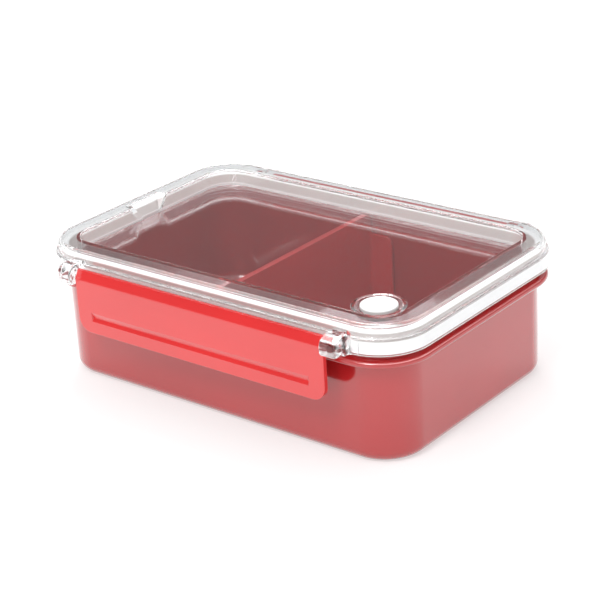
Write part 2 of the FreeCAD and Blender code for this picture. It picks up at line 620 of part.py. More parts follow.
def make_divider():
    """Loose partition across the box, with wings that lie along the long walls."""
    body = new_body("divider")
    foot = f"({FLOOR_TOP} + Sizes.divider_air)"
    plate = new_sketch(body, "plate_outline", "YZ_Plane", "Sizes.divider_at")
    rectangle(plate, f"-{DIVIDER_Y}", DIVIDER_Y, foot, DIVIDER_TOP)
    pad(body, plate, "Sizes.divider_thick", both_ways=True)
    end = value(DIVIDER_Y)
    low = value(foot)
    round_edges(body, "plate_corners", "Sizes.floor_round",
                lambda e: runs(e, "x") and lies(e, None, end, low))
    crest = value(DIVIDER_TOP)
    round_edges(body, "crest_corners", "Sizes.divider_corner",
                lambda e: runs(e, "x") and lies(e, None, end, crest))
    wing_top =f"({DIVIDER_TOP} - Sizes.wing_drop)"
    wing_low = f"({FLOOR_TOP} + Sizes.floor_round + Sizes.divider_air)"
    reach = "(Sizes.divider_thick / 2 + Sizes.wing_reach)"
    back = f"({DIVIDER_Y} - Sizes.wing_thick)"
    wings = new_sketch(body, "wing_plan", "XY_Plane", wing_low)
    for y in ("", "-"):
        rectangle(wings, f"Sizes.divider_at - {reach}", f"Sizes.divider_at + {reach}", y + back, y + DIVIDER_Y)
    pad(body, wings, f"{wing_top} - {wing_low}")
    at = value("Sizes.divider_at")
    wing_end = value(reach)
    high = value(wing_top)
    round_edges(body, "wing_corners", "Sizes.wing_corner",
                lambda e: runs(e, "y") and level(e, high) and abs(abs(e.CenterOfMass.x - at) - wing_end) < NEAR)
    inner = value(back)
    side = value("Sizes.divider_thick / 2")
    round_edges(body, "wing_blend", "Sizes.wing_blend",
                lambda e: runs(e, "z") and abs(abs(e.CenterOfMass.y) - inner) < NEAR
                and abs(abs(e.CenterOfMass.x - at) - side) < NEAR)
    return body


def check(pieces):
    """Stop if a feature failed or a piece is not one sound solid."""
    for thing in doc.Objects:
        if "Invalid" in thing.State or "Error" in thing.State:
            raise RuntimeError(f"{thing.Name} failed")
    for piece in pieces:
        shape = piece.Shape
        if shape.isNull() or not shape.isValid() or len(shape.Solids) != 1:
            raise RuntimeError(f"{piece.Label} is not one sound solid")


PIECES = [
    make_box(),
    make_lid(),
    make_gasket(),
    make_latch("front_latch", "-"),
    make_latch("back_latch", ""),
    make_valve(),
    make_divider(),
]
doc.recompute()
check(PIECES)
os.makedirs("parts", exist_ok=True)
for piece in PIECES:
    piece.Shape.exportStep(f"parts/{piece.Label}.step")
    box = piece.Shape.BoundBox
    print(f"{piece.Label}: {box.XLength:.1f} x {box.YLength:.1f} x {box.ZLength:.1f} mm,"
          f" {piece.Shape.Volume / 1000:.1f} cm3")
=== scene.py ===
import contextlib
import math

import bmesh
import bpy
from mathutils import Matrix, Vector


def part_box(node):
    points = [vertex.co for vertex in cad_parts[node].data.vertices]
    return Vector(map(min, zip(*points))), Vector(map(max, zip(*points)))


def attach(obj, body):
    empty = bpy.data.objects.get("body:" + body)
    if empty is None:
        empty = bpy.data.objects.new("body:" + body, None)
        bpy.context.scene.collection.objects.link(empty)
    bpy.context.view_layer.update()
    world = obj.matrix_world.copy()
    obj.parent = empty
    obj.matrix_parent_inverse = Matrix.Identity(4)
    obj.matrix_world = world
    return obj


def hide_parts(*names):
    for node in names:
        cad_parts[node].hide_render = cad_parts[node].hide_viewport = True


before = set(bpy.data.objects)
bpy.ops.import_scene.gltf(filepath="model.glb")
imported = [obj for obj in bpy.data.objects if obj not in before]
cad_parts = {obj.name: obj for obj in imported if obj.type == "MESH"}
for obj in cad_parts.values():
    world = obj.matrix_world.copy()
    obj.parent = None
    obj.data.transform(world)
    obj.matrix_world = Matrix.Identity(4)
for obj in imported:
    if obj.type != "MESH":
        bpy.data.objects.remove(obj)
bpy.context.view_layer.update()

# Everything is in metres. X runs along the box, -Y is the near side and Z is up.
MM = 0.001
X, Y, Z = range(3)

# Camera of the photograph, fitted to the straight edges of lid, latch and box
PHOTO_WIDTH = 600
FOCAL_PIXELS = 1822.0
SENSOR_WIDTH = 36.0
CAMERA_PLACE = Vector((0.4856, -0.5910, 0.3637))
CAMERA_YAW = math.radians(39.447)
CAMERA_PITCH = math.radians(23.424)
CAMERA_ROLL = math.radians(-3.417)

# Brightness of the room round the table, as light and in reflections, where white is 1
ROOM_LIGHT = 1.0
ROOM_GLOSS = 0.21
CEILING_GLOSS = 4.0
# The mirrored ceiling is this many times dimmer in a second mirror or through more than one wall
CEILING_FALL = 4
# Upward part of a direction, from and to, where the mirrored walls get dim and the ceiling begins
WALLS_FADE = (0.2, 0.34)
CEILING_FADE = (0.52, 0.66)
# Surfaces that light meets in one wall of the lid
WALL_FACES = 2.0
# Light that has met more surfaces than this goes straight on through the lid
CAUGHT_DEPTH = 4.5
# What the lamps point at
LAMP_TARGET = Vector((0, 0, 0.03))

# Table: its white for light, its white where it is seen, and a glow there that keeps shadows faint
FLOOR_SIZE = 8.0
FLOOR_WHITE = 0.9
SEEN_WHITE = 0.5
SEEN_GLOW = 0.5

# Half the height over which the painted shade on the silicone fades in
COLOUR_FADE = 0.3 * MM


def add_camera():
    data = bpy.data.cameras.new("camera")
    data.sensor_width = SENSOR_WIDTH
    data.lens = FOCAL_PIXELS * SENSOR_WIDTH / PHOTO_WIDTH
    camera = bpy.data.objects.new("camera", data)
    bpy.context.collection.objects.link(camera)
    camera.matrix_world = (
        Matrix.Translation(CAMERA_PLACE)
        @ Matrix.Rotation(CAMERA_YAW, 4, "Z")
        @ Matrix.Rotation(math.pi / 2 - CAMERA_PITCH, 4, "X")
        @ Matrix.Rotation(CAMERA_ROLL, 4, "Z")
    )
    bpy.context.scene.camera = camera


class Nodes:
    """Short way to add nodes to one node tree and join them."""

    def __init__(self, tree):
        self.tree = tree
        self.tree.nodes.clear()

    def add(self, kind, links=None, **settings):
        node = self.tree.nodes.new(kind)
        for name, setting in settings.items():
            setattr(node, name, setting)
        for socket, source in (links or {}).items():
            if isinstance(source, bpy.types.NodeSocket):
                self.tree.links.new(source, node.inputs[socket])
            else:
                node.inputs[socket].default_value = source
        return node

    def calculate(self, operation, *values):
        """Result of a Math node on numbers and on other results."""
        node = self.add("ShaderNodeMath", dict(enumerate(values)), operation=operation)
        return node.outputs[0]


def grey(level):
    return (level, level, level, 1)


def new_material(name):
    material = bpy.data.materials.new(name)
    material.use_nodes = True
    return material, Nodes(material.node_tree)


def new_group(name, inputs, outputs):
    """Shader node group with named number or colour sockets."""
    tree = bpy.data.node_groups.new(name, "ShaderNodeTree")
    for in_out, sockets in (("INPUT", inputs), ("OUTPUT", outputs)):
        for socket, kind in sockets.items():
            tree.interface.new_socket(socket, in_out=in_out, socket_type="NodeSocket" + kind)
    return tree, Nodes(tree)


def make_moulding_flow():
    """Faint clouds of colour and the soft orange-peel skin of a moulded part."""
    tree, nodes = new_group("moulding_flow",
                            {"Colour": "Color", "Cloud": "Float", "Peel Size": "Float"},
                            {"Colour": "Color", "Height": "Float"})
    given = nodes.add("NodeGroupInput")
    place = nodes.add("ShaderNodeTexCoord").outputs["Object"]
    stretched = nodes.add("ShaderNodeMapping", {"Vector": place, "Scale": (18, 26, 40)})
    clouds = nodes.add("ShaderNodeTexNoise", {
        "Vector": stretched.outputs[0], "Scale": 1.0, "Detail": 3.0})
    swing = nodes.calculate("ADD", clouds.outputs[0], -0.5)
    shade = nodes.calculate("MULTIPLY_ADD", swing, given.outputs["Cloud"], 1.0)
    colour = nodes.add("ShaderNodeVectorMath", {0: given.outputs["Colour"], "Scale": shade},
                       operation="SCALE")
    peel = nodes.add("ShaderNodeTexNoise", {
        "Vector": place, "Scale": given.outputs["Peel Size"], "Detail": 2.0})
    nodes.add("NodeGroupOutput", {"Colour": colour.outputs[0], "Height": peel.outputs[0]})
    return tree


def make_handling_marks():
    """Finger smudges and hairline scratches, as a roughness that changes over the surface."""
    tree, nodes = new_group("handling_marks",
                            {"Gloss": "Float", "Smudge": "Float", "Scratch": "Float"},
                            {"Roughness": "Float"})
    given = nodes.add("NodeGroupInput")
    place = nodes.add("ShaderNodeTexCoord").outputs["Object"]
    smear = nodes.add("ShaderNodeTexNoise", {
        "Vector": place, "Scale": 38.0, "Detail": 5.0, "Roughness": 0.6})
    smear = nodes.add("ShaderNodeMapRange", {
        "Value": smear.outputs[0], "From Min": 0.48, "From Max": 0.75})
    turned = nodes.add("ShaderNodeMapping", {
        "Vector": place, "Rotation": (0.2, 0.1, 0.6), "Scale": (60, 2200, 900)})
    hairs = nodes.add("ShaderNodeTexNoise", {
        "Vector": turned.outputs[0], "Scale": 1.0, "Detail": 1.0})
    hairs = nodes.add("ShaderNodeMapRange", {
        "Value": hairs.outputs[0], "From Min": 0.68, "From Max": 0.78})
    matt = nodes.calculate("MULTIPLY_ADD", smear.outputs[0], given.outputs["Smudge"],
                           given.outputs["Gloss"])
    matt = nodes.calculate("MULTIPLY_ADD", hairs.outputs[0], given.outputs["Scratch"], matt)
    nodes.add("NodeGroupOutput", {"Roughness": matt})
    return tree


MOULDING_FLOW = make_moulding_flow()
HANDLING_MARKS = make_handling_marks()


def moulded_surface(nodes, flow, marks, peel):
    """Colour, roughness and skin of a moulded part, as inputs of a Principled shader."""
    flow = nodes.add("ShaderNodeGroup", flow, node_tree=MOULDING_FLOW)
    marks = nodes.add("ShaderNodeGroup", marks, node_tree=HANDLING_MARKS)
    skin = nodes.add("ShaderNodeBump", {**peel, "Height": flow.outputs["Height"]})
    return {
        "Base Color": flow.outputs["Colour"],
        "Roughness": marks.outputs["Roughness"],
        "Normal": skin.outputs[0],
    }


def red_plastic(name, colour, gloss):
    material, nodes = new_material(name)
    surface = moulded_surface(
        nodes,
        flow={"Colour": (*colour, 1), "Cloud": 0.22, "Peel Size": 420.0},
        marks={"Gloss": gloss, "Smudge": 0.06, "Scratch": 0.05},
        peel={"Strength": 0.06, "Distance": 0.2 * MM})
    shader = nodes.add("ShaderNodeBsdfPrincipled", {
        **surface,
        "IOR": 1.52,
        "Specular IOR Level": 0.6,
        "Coat Weight": 1.0,
        "Coat Roughness": 0.08,
        "Coat IOR": 1.55,
    })
    nodes.add("ShaderNodeOutputMaterial", {"Surface": shader.outputs[0]})
    return material


def clear_plastic():
    material, nodes = new_material("clear_lid")
    surface = moulded_surface(
        nodes,
        flow={"Colour": (0.975, 0.985, 0.995, 1), "Cloud": 0.02, "Peel Size": 160.0},
        marks={"Gloss": 0.0, "Smudge": 0.004, "Scratch": 0.02},
        peel={"Strength": 0.002, "Distance": 0.3 * MM})
    shader = nodes.add("ShaderNodeBsdfPrincipled", {
        **surface,
        "IOR": 1.45,
        "Transmission Weight": 1.0,
        "Coat Weight": 1.0,
        "Coat Roughness": 0.0,
        "Coat IOR": 1.5,
    })
    see_through = nodes.add("ShaderNodeBsdfTransparent", {"Color": (0.96, 0.962, 0.964, 1)})
    path = nodes.add("ShaderNodeLightPath")
    for_lamps = nodes.add("ShaderNodeMixShader", {
        0: path.outputs["Is Shadow Ray"], 1: shader.outputs[0], 2: see_through.outputs[0]})
    for_bounces = nodes.add("ShaderNodeMixShader", {
        0: path.outputs["Is Diffuse Ray"], 1: for_lamps.outputs[0], 2: see_through.outputs[0]})
    # Light caught inside the thin walls goes straight on after a few turns
    caught = nodes.calculate("GREATER_THAN", path.outputs["Ray Depth"], CAUGHT_DEPTH)
    let_out = nodes.add("ShaderNodeMixShader", {
        0: caught, 1: for_bounces.outputs[0], 2: see_through.outputs[0]})
    nodes.add("ShaderNodeOutputMaterial", {"Surface": let_out.outputs[0]})
    return material


def white_silicone(name, colour, shade_colour, shade_low, shade_high):
    """Silicone with a band of painted shade, a darker colour, between two heights."""
    material, nodes = new_material(name)
    place = nodes.add("ShaderNodeTexCoord")
    place = nodes.add("ShaderNodeSeparateXYZ", {0: place.outputs["Object"]})
    above_low, above_high = (
        nodes.add("ShaderNodeMapRange", {
            "Value": place.outputs["Z"],
            "From Min": height - COLOUR_FADE, "From Max": height + COLOUR_FADE})
        for height in (shade_low, shade_high))
    share = nodes.calculate("SUBTRACT", above_low.outputs[0], above_high.outputs[0])
    shaded = nodes.add("ShaderNodeMixRGB", {0: share, 1: (*colour, 1), 2: (*shade_colour, 1)})
    surface = moulded_surface(
        nodes,
        flow={"Colour": shaded.outputs[0], "Cloud": 0.08, "Peel Size": 900.0},
        marks={"Gloss": 0.42, "Smudge": 0.12, "Scratch": 0.0},
        peel={"Strength": 0.12, "Distance": 0.2 * MM})
    shader = nodes.add("ShaderNodeBsdfPrincipled", surface)
    nodes.add("ShaderNodeOutputMaterial", {"Surface": shader.outputs[0]})
    return material


def add_floor():
    bpy.ops.mesh.primitive_plane_add(size=FLOOR_SIZE)
    floor = bpy.context.object
    floor.name = "floor"
    material, nodes = new_material("floor")
    paper = nodes.add("ShaderNodeBsdfDiffuse", {"Color": grey(FLOOR_WHITE)})
    faint = nodes.add("ShaderNodeBsdfDiffuse", {"Color": grey(SEEN_WHITE)})
    glow = nodes.add("ShaderNodeEmission", {"Color": grey(1), "Strength": SEEN_GLOW})
    both = nodes.add("ShaderNodeAddShader", {0: faint.outputs[0], 1: glow.outputs[0]})
    path = nodes.add("ShaderNodeLightPath")
    seen = nodes.calculate("MAXIMUM", path.outputs["Is Camera Ray"], path.outputs["Is Glossy Ray"])
    seen = nodes.calculate("MAXIMUM", seen, path.outputs["Is Transmission Ray"])
    mix = nodes.add("ShaderNodeMixShader", {0: seen, 1: paper.outputs[0], 2: both.outputs[0]})
    nodes.add("ShaderNodeOutputMaterial", {"Surface": mix.outputs[0]})
    floor.data.materials.append(material)


def add_world():
    world = bpy.data.worlds.new("studio")
    bpy.context.scene.world = world
    world.use_nodes = True
    nodes = Nodes(world.node_tree)
    path = nodes.add("ShaderNodeLightPath")
    # In mirrors the room is white near the table, dim above that and bright overhead
    way = nodes.add("ShaderNodeTexCoord")
    way = nodes.add("ShaderNodeSeparateXYZ", {0: way.outputs["Generated"]})
    walls = nodes.add("ShaderNodeMapRange", {
        "Value": way.outputs["Z"], "From Min": WALLS_FADE[0], "From Max": WALLS_FADE[1],
        "To Min": 1.0, "To Max": ROOM_GLOSS}, interpolation_type="SMOOTHSTEP")
    # It is bright only in the first mirror, and for light that has met few surfaces
    met = nodes.calculate("SUBTRACT", path.outputs["Ray Depth"], WALL_FACES)
    met = nodes.calculate("MAXIMUM", met, path.outputs["Glossy Depth"])
    lit = nodes.add("ShaderNodeMapRange", {
        "Value": met, "From Min": 1.0, "From Max": 2.0,
        "To Min": CEILING_GLOSS, "To Max": CEILING_GLOSS / CEILING_FALL})
    ceiling = nodes.add("ShaderNodeMapRange", {
        "Value": way.outputs["Z"], "From Min": CEILING_FADE[0], "From Max": CEILING_FADE[1],
        "To Min": 0.0, "To Max": lit.outputs[0]}, interpolation_type="SMOOTHSTEP")
    mirrored = nodes.calculate("ADD", walls.outputs[0], ceiling.outputs[0])
    sharp = nodes.calculate("MAXIMUM", path.outputs["Is Glossy Ray"],
                            path.outputs["Is Transmission Ray"])
    soft = nodes.add("ShaderNodeMapRange", {
        "Value": sharp, "To Min": ROOM_LIGHT, "To Max": mirrored})
    # Seen straight through the lid, with no mirror on the way, it is as white as the table
    straight = nodes.calculate("LESS_THAN", path.outputs["Glossy Depth"], 0.5)
    through = nodes.calculate("MULTIPLY", path.outputs["Is Transmission Ray"], straight)
    seen = nodes.calculate("MAXIMUM", path.outputs["Is Camera Ray"], through)
    level = nodes.calculate("MAXIMUM", soft.outputs[0], seen)
    room = nodes.add("ShaderNodeBackground", {"Color": grey(1), "Strength": level})
    nodes.add("ShaderNodeOutputWorld", {"Surface": room.outputs[0]})


def add_lamp(name, place, size, power):
    """Square lamp of one side length in metres, pointed at the box."""
    data = bpy.data.lights.new(name, "AREA")
    data.shape = "RECTANGLE"
    data.size = data.size_y = size
    data.energy = power
    lamp = bpy.data.objects.new(name, data)
    bpy.context.collection.objects.link(lamp)
    lamp.location = place
    lamp.rotation_euler = (LAMP_TARGET - Vector(place)).to_track_quat("-Z", "Y").to_euler()


SHELL_RED = red_plastic("red_shell", colour=(0.42, 0.014, 0.016), gloss=0.16)
# The divider's red is the shell's red made lighter: painted light, for the light that falls on its
# top
LIT_DIVIDER_RED = red_plastic("red_divider_lit", colour=(0.62, 0.014, 0.016), gloss=0.2)
LATCH_RED = red_plastic("red_latch", colour=(0.67, 0.018, 0.019), gloss=0.14)
CLEAR = clear_plastic()
# Painted shade: the seal is darker over its shaded shoulder and crown, and the valve below its
# button's top
SEAL_WHITE = white_silicone(
    "white_seal", colour=(0.95, 0.95, 0.945),
    shade_colour=(0.53, 0.475, 0.457), shade_low=57.0 * MM, shade_high=60.2 * MM)
VALVE_WHITE = white_silicone(
    "white_valve", colour=(0.9, 0.9, 0.9),
    shade_colour=(0.6, 0.6, 0.595), shade_low=49.0 * MM, shade_high=60.5 * MM)

# Sizes that the parts in model.glb give
box_low, box_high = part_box("box_body")
lid_low, lid_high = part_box("lid")
seal_low, seal_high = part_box("gasket")
latch_low, latch_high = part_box("front_latch")
valve_low, valve_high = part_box("valve_plug")
divider_low, divider_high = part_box("divider")

# Smallest step that tells two places apart
TINY = 0.02 * MM
# How far cutters reach past the faces that they cut
PAST = 1.0 * MM
# Facets across each rounded corner or edge, from large corners down to the edges of the seal
CORNER_STEPS = 28
WIDE_STEPS = 12
RING_STEPS = 10
MIDDLE_STEPS = 8
EDGE_STEPS = 6
SEAL_STEPS = 4
# Facets round a bar and a disc
ROD_FACETS = 48
DISC_FACETS = 72
# Profiles of a bevel: round, and hollow for the flare of a hinge post
ROUND_PROFILE = 0.5
FLARE_PROFILE = 0.08
# Edges that bend more than these are sharp, are bevelled on the seal, or stay creased in the shading
SHARP_ANGLE = math.radians(25)
SEAL_ANGLE = math.radians(40)
SMOOTH_ANGLE = math.radians(17)
# Part of a face's normal along an axis above which the face counts as looking that way
ALONG = 0.9

# Box
FLANGE_REACH = 4.8 * MM
FLANGE_THICK = 2.8 * MM
FLANGE_TOP = 48.2 * MM
FLANGE_EDGE = 1.35 * MM
FLANGE_ROOT = 0.5 * MM
WALL_CORNER = 20.0 * MM
WALL_THICK = 2.0 * MM
FLOOR_THICK = 2.0 * MM
FLOOR_ROUND = 5.0 * MM
RIM_EDGE = 0.6 * MM

# Lid
SKIRT_CORNER = 23.4 * MM
SKIRT_STEP = 1.4 * MM
SKIRT_LOW = 51.2 * MM
LEDGE = 59.1 * MM
SKIRT_HALF_WIDTH = 66.65 * MM
RING_BAND = 10.4 * MM
RING_EDGE = 2.4 * MM
RING_INNER_EDGE = 0.4 * MM
LEDGE_EDGE = 0.8 * MM
FINE_EDGE = 0.3 * MM
LID_WALL = 1.8 * MM
# Overlap of the lid's walls with forms that are joined to them or cut from them
SINK = LID_WALL / 8
PANEL_TOP = 56.4 * MM
PANEL_LOW = 54.6 * MM
SCOOP_WIDTHS = (11.0 * MM, 25.0 * MM, 19.0 * MM)
SCOOP_DEPTH = 5.0 * MM
SCOOP_WALL = 1.6 * MM

# Hinge posts and latches
HINGE_Y = 69.7 * MM
HINGE_Z = 56.2 * MM
LATCH_HALF = 69.6 * MM
POST_AIR = 0.3 * MM
POST_LENGTH = 8.7 * MM
POST_RISE = 4.4 * MM
POST_CROWN = 5.0 * MM
POST_FOOT = 2.6 * MM
POST_INNER_EDGE = 0.8 * MM
POST_OUTER_EDGE = 2.5 * MM
POST_FLARE = 4.0 * MM
BORE_RADIUS = 1.25 * MM
BORE_DEPTH = 4.0 * MM
PIN_RADIUS = 1.2 * MM
BARREL_RADIUS = 2.0 * MM
PLATE_THICK = 2.2 * MM
PLATE_CORNER = 6.5 * MM
LATCH_BEVEL_RUN = 2.3 * MM
LATCH_BEVEL_FALL = 4.1 * MM
LATCH_EDGE = 0.35 * MM
HOOK_HALF = 62.0 * MM
HOOK_AIR = 0.4 * MM
HOOK_TIP = 1.4 * MM
HOOK_ROOT = 5.0 * MM
GROOVE_HALF = 61.5 * MM
GROOVE_LOW = 35.2 * MM
GROOVE_HIGH = 39.9 * MM
GROOVE_KEEL = 37.0 * MM
GROOVE_DEPTH = 1.0 * MM
GROOVE_END = 0.25 * MM

# Seal
SEAL_CORNER = 21.4 * MM
SEAL_STEP = 1.4 * MM
SEAL_LEG_TOP = 57.1 * MM
SEAL_CROWN = 2.6 * MM
SEAL_SLOPE = 3.8 * MM
SEAL_LEG = 2.4 * MM
SEAL_SLOT = 3.0 * MM
SEAL_SLOT_TOP = 57.3 * MM
SEAL_INNER_LOW = 54.6 * MM

# Valve
CUP_BASE = 9.6 * MM
CUP_TOP_RADIUS = 12.0 * MM
CUP_TOP = 60.6 * MM
CUP_WALL = 1.7 * MM
BUTTON_RADIUS = 8.1 * MM
BUTTON_THICK = 2.2 * MM
BUTTON_EDGE = 0.7 * MM
SEAT_RADIUS = 6.4 * MM
SEAT_AIR = 0.3 * MM
STEM_RADIUS = 2.9 * MM
STEM_HOLE = 3.2 * MM
BULB_RADIUS = 3.9 * MM
BULB_TIP = 1.8 * MM
BULB_TOP = 52.2 * MM
# Share of the bulb's height at which it gets to its full width
BULB_WIDEST = 2 / 3

# Divider
DIVIDER_THICK = 3.0 * MM
WING_THICK = 1.6 * MM
WING_LOW = 7.35 * MM
WING_TOP = 43.5 * MM
WING_CORNER = 4.0 * MM
WING_ROOT = 1.5 * MM
DIVIDER_CORNER = 4.0 * MM
DIVIDER_EDGE = 0.2 * MM


def deselect():
    bpy.ops.object.select_all(action="DESELECT")


def select_only(piece):
    deselect()
    piece.select_set(True)
    bpy.context.view_layer.objects.active = piece


def settle(piece, name):
    """Put a new primitive's place and size into its mesh."""
    piece.name = name
    bpy.ops.object.transform_apply(location=True, rotation=True, scale=True)
    return piece


def block(name, low, high):
    """Box between two corners."""
    low, high = Vector(low), Vector(high)
    deselect()
    bpy.ops.mesh.primitive_cube_add(size=1, location=(low + high) / 2)
    piece = bpy.context.object
    piece.scale = high - low
    return settle(piece, name)


def rod(name, radius, half_length, place):
    """Round bar along X."""
    deselect()
    bpy.ops.mesh.primitive_cylinder_add(vertices=ROD_FACETS, radius=radius, depth=2 * half_length,
                                        location=place, rotation=(0, math.pi / 2, 0))
    return settle(bpy.context.object, name)


@contextlib.contextmanager
def editing(piece):
    select_only(piece)
    bpy.ops.object.mode_set(mode="EDIT")
    yield
    bpy.ops.object.mode_set(mode="OBJECT")


def pick(kind, test):
    """Select only the faces or edges that pass the test. The piece is in edit mode."""
    mesh = bpy.context.object.data
    bpy.ops.mesh.select_mode(type=kind)
    bpy.ops.mesh.select_all(action="DESELECT")
    shape = bmesh.from_edit_mesh(mesh)
    for part in shape.faces if kind == "FACE" else shape.edges:
        part.select_set(test(part))
    bmesh.update_edit_mesh(mesh)


def round_off(radius, test, steps=EDGE_STEPS, profile=ROUND_PROFILE):
    """Bevel the edges that pass the test."""
    pick("EDGE", test)
    bpy.ops.mesh.bevel(offset=radius, offset_type="OFFSET", segments=steps, profile=profile,
                       affect="EDGES")


def inset(width, depth=0.0):
    bpy.ops.mesh.inset(thickness=width, depth=depth, use_even_offset=True)


def extrude(x=0.0, y=0.0, z=0.0):
    bpy.ops.mesh.extrude_region_move(TRANSFORM_OT_translate={"value": (x, y, z)})


def cut_across(axis, place):
    """New edges all round the piece, where it crosses a place on one axis."""
    point, way = Vector(), Vector()
    point[axis], way[axis] = place, 1
    bpy.ops.mesh.select_all(action="SELECT")
    bpy.ops.mesh.bisect(plane_co=point, plane_no=way)


def near(a, b):
    return abs(a - b) < TINY


def is_sharp(edge):
    return edge.calc_face_angle(0) > SHARP_ANGLE


def upright(edge):
    a, b = (v.co for v in edge.verts)
    return near(a.x, b.x) and near(a.y, b.y)


def along_x(depth, height):
    """Test for the edges along X at one depth and height."""
    return lambda e: all(near(v.co.y, depth) and near(v.co.z, height) for v in e.verts)


def through_plate(axis, reach, height):
    """Test for the edges through a plate's thickness at both its ends, at one height."""
    def test(edge):
        a, b = (v.co for v in edge.verts)
        return near(a[axis], b[axis]) and near(abs(a[axis]), reach) \
            and near(a.z, height) and near(b.z, height)
    return test


def faces_at(height, way):
    """Test for flat faces at a height that look up (1) or down (-1)."""
    return lambda f: f.normal.z * way > ALONG and near(f.calc_center_median().z, height)


class Outline:
    """Rounded rectangle round the Z axis."""

    def __init__(self, half_x, half_y, corner):
        self.half_x, self.half_y, self.corner = half_x, half_y, corner

    def grown(self, width):
        return Outline(self.half_x + width, self.half_y + width, self.corner + width)

    def distance(self, place):
        """How far outside the outline a place is, seen from above."""
        x = abs(place.x) - self.half_x + self.corner
        y = abs(place.y) - self.half_y + self.corner
        return math.hypot(max(x, 0), max(y, 0)) + min(max(x, y), 0) - self.corner

    def line(self, width, height):
        """Test for the edges that run along the outline, grown by a width, at one height."""
        return lambda e: all(near(self.distance(v.co), width) and near(v.co.z, height)
                             for v in e.verts)

    def slab(self, name, low, high):
        piece = block(name, (-self.half_x, -self.half_y, low), (self.half_x, self.half_y, high))
        with editing(piece):
            round_off(self.corner, upright, CORNER_STEPS)
        return piece


def apply_modifier(piece, kind, **settings):
    select_only(piece)
    modifier = piece.modifiers.new(kind.lower(), kind)
    for name, setting in settings.items():
        setattr(modifier, name, setting)
    bpy.ops.object.modifier_apply(modifier=modifier.name)


def join(piece, other):
    apply_modifier(piece, "BOOLEAN", operation="UNION", solver="EXACT", object=other)
    bpy.data.objects.remove(other)


def carve(piece, other):
    apply_modifier(piece, "BOOLEAN", operation="DIFFERENCE", solver="EXACT", object=other)
    bpy.data.objects.remove(other)


def turned_copy(piece, name):
    """Copy with its own mesh, turned half round the Z axis."""
    select_only(piece)
    bpy.ops.object.duplicate()
    copy = bpy.context.object
    copy.rotation_euler.z = math.pi
    return settle(copy, name)


def stack(name, middle, profile):
    """Round form about an upright axis, through (radius, height) pairs from its lowest disc."""
    (radius, height), *rest = profile
    deselect()
    bpy.ops.mesh.primitive_circle_add(vertices=DISC_FACETS, radius=radius, fill_type="NGON",
                                      location=(middle.x, middle.y, height))
    piece = settle(bpy.context.object, name)
    with editing(piece):
        bpy.ops.mesh.select_all(action="SELECT")
        for next_radius, next_height in rest:
            extrude(z=next_height - height)
            scale = next_radius / radius
            bpy.ops.transform.resize(value=(scale, scale, 1),
                                     center_override=(middle.x, middle.y, next_height))
            radius, height = next_radius, next_height
        bpy.ops.mesh.select_all(action="SELECT")
        bpy.ops.mesh.normals_make_consistent(inside=False)
    return piece


def ring_edge(middle, radius, height):
    """Test for the edges of a circle about an upright axis."""
    def test(edge):
        return all(near((v.co.xy - middle.xy).length, radius) and near(v.co.z, height)
                   for v in edge.verts)
    return test


def finish_piece(piece, material, node, body):
    select_only(piece)
    bpy.ops.object.shade_smooth_by_angle(angle=SMOOTH_ANGLE)
    apply_modifier(piece, "WEIGHTED_NORMAL", keep_sharp=True)
    piece.data.materials.clear()
    piece.data.materials.append(material)
    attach(piece, body)
    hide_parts(node)


def model_box():
    wall = Outline(box_high.x - FLANGE_REACH, box_high.y - FLANGE_REACH, WALL_CORNER)
    rim = box_high.z
    box = wall.slab("box_shell", box_low.z, rim)
    with editing(box):
        round_off(FLOOR_ROUND, wall.line(0, box_low.z), WIDE_STEPS)
        cut_across(Z, FLANGE_TOP - FLANGE_THICK)
        cut_across(Z, FLANGE_TOP)
        pick("FACE", lambda f: FLANGE_TOP - FLANGE_THICK < f.calc_center_median().z < FLANGE_TOP)
        bpy.ops.mesh.extrude_region_shrink_fatten(
            TRANSFORM_OT_shrink_fatten={"value": FLANGE_REACH, "use_even_offset": True})
        pick("FACE", faces_at(rim, 1))
        inset(WALL_THICK)
        extrude(z=box_low.z + FLOOR_THICK - rim)
        round_off(FLOOR_ROUND, wall.line(-WALL_THICK, box_low.z + FLOOR_THICK), WIDE_STEPS)
        for width in (0, -WALL_THICK):
            round_off(RIM_EDGE, wall.line(width, rim))
        for height in (FLANGE_TOP, FLANGE_TOP - FLANGE_THICK):
            round_off(FLANGE_EDGE, wall.line(FLANGE_REACH, height))
            round_off(FLANGE_ROOT, wall.line(0, height))
    finish_piece(box, SHELL_RED, "box_body", "box")


def model_lid():
    skirt = Outline(lid_high.x, SKIRT_HALF_WIDTH, SKIRT_CORNER)
    ring = skirt.grown(-SKIRT_STEP)
    top = lid_high.z
    lid = skirt.slab("clear_lid", SKIRT_LOW, LEDGE)
    with editing(lid):
        pick("FACE", faces_at(LEDGE, 1))
        inset(SKIRT_STEP)
        extrude(z=top - LEDGE)
        inset(RING_BAND)
        extrude(z=PANEL_TOP - top)
        # From below: inside of the skirt, up into the ring, and down again to the panel's underside
        pick("FACE", faces_at(SKIRT_LOW, -1))
        inset(LID_WALL)
        extrude(z=LEDGE - LID_WALL - SKIRT_LOW)
        inset(SKIRT_STEP)
        extrude(z=top - LEDGE)
        inset(RING_BAND - 2 * LID_WALL)
        extrude(z=PANEL_LOW - top + LID_WALL)
        round_off(RING_EDGE, ring.line(0, top), RING_STEPS)
        round_off(RING_EDGE - LID_WALL, ring.line(-LID_WALL, top - LID_WALL))
        round_off(RING_INNER_EDGE, ring.line(-RING_BAND, top))
        round_off(LEDGE_EDGE, skirt.line(0, LEDGE))
        round_off(FINE_EDGE, ring.line(0, LEDGE))
        round_off(FINE_EDGE, skirt.line(0, SKIRT_LOW))
    add_scoop(lid, ring)
    add_cup(lid)
    add_posts(lid)
    finish_piece(lid, CLEAR, "lid", "lid")


